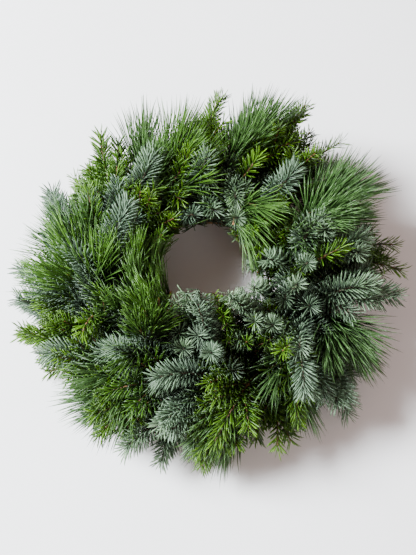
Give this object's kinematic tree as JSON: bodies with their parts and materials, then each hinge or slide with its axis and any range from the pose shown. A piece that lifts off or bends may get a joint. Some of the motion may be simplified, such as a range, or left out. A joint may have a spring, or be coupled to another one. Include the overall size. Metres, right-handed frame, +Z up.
{
  "type": "evergreen door wreath",
  "caption": "Evergreen door wreath: noble fir, green fir and pine sprays bound with wire to a straw ring.",
  "frame": {"origin": "Middle of the ring, on the surface that the wreath lies on. It is also the bottom centre of the bounding box.", "axes": "+Z is up, out of the wreath's front. +Y is twelve o'clock. The sprays point clockwise, seen from above."},
  "size_m": [0.4094, 0.4148, 0.1332],
  "materials": {
    "straw": "dry bundled straw",
    "wire": "green lacquered florist's wire",
    "noble_fir": "waxy blue-green needles",
    "green_fir": "glossy yellow-green needles on red-brown twigs",
    "pine": "soft satin green needles"
  },
  "bodies": {
    "root": {"straw_ring": "straw", "binding_wire": "wire", "green_fir_spray_outer_01": "green_fir", "pine_spray_outer_02": "pine", "green_fir_spray_outer_03": "green_fir", "pine_spray_outer_04": "pine", "green_fir_spray_outer_05": "green_fir", "pine_spray_outer_06": "pine", "noble_fir_spray_outer_07": "noble_fir", "green_fir_spray_outer_08": "green_fir", "pine_spray_outer_09": "pine", "noble_fir_spray_outer_10": "noble_fir", "pine_spray_outer_11": "pine", "green_fir_spray_outer_12": "green_fir", "noble_fir_spray_outer_13": "noble_fir", "pine_spray_outer_14": "pine", "green_fir_spray_outer_15": "green_fir", "pine_spray_outer_16": "pine", "noble_fir_spray_crown_01": "noble_fir", "noble_fir_spray_crown_02": "noble_fir", "green_fir_spray_crown_03": "green_fir", "pine_spray_crown_04": "pine", "noble_fir_spray_crown_05": "noble_fir", "noble_fir_spray_crown_06": "noble_fir", "green_fir_spray_crown_07": "green_fir", "green_fir_spray_crown_08": "green_fir", "noble_fir_spray_crown_09": "noble_fir", "noble_fir_spray_crown_10": "noble_fir", "green_fir_spray_crown_11": "green_fir", "noble_fir_spray_crown_12": "noble_fir", "pine_spray_crown_13": "pine", "noble_fir_spray_crown_14": "noble_fir", "green_fir_spray_crown_15": "green_fir", "pine_spray_crown_16": "pine", "noble_fir_spray_inner_01": "noble_fir", "noble_fir_spray_inner_02": "noble_fir", "green_fir_spray_inner_03": "green_fir", "green_fir_spray_inner_04": "green_fir", "noble_fir_spray_inner_05": "noble_fir", "noble_fir_spray_inner_06": "noble_fir", "noble_fir_spray_inner_07": "noble_fir", "green_fir_spray_inner_08": "green_fir", "noble_fir_spray_inner_09": "noble_fir", "noble_fir_spray_inner_10": "noble_fir", "pine_spray_inner_11": "pine", "pine_spray_inner_12": "pine", "pine_spray_inner_13": "pine", "green_fir_spray_inner_14": "green_fir", "green_fir_spray_inner_15": "green_fir", "noble_fir_spray_inner_16": "noble_fir"}
  },
  "joints": []
}
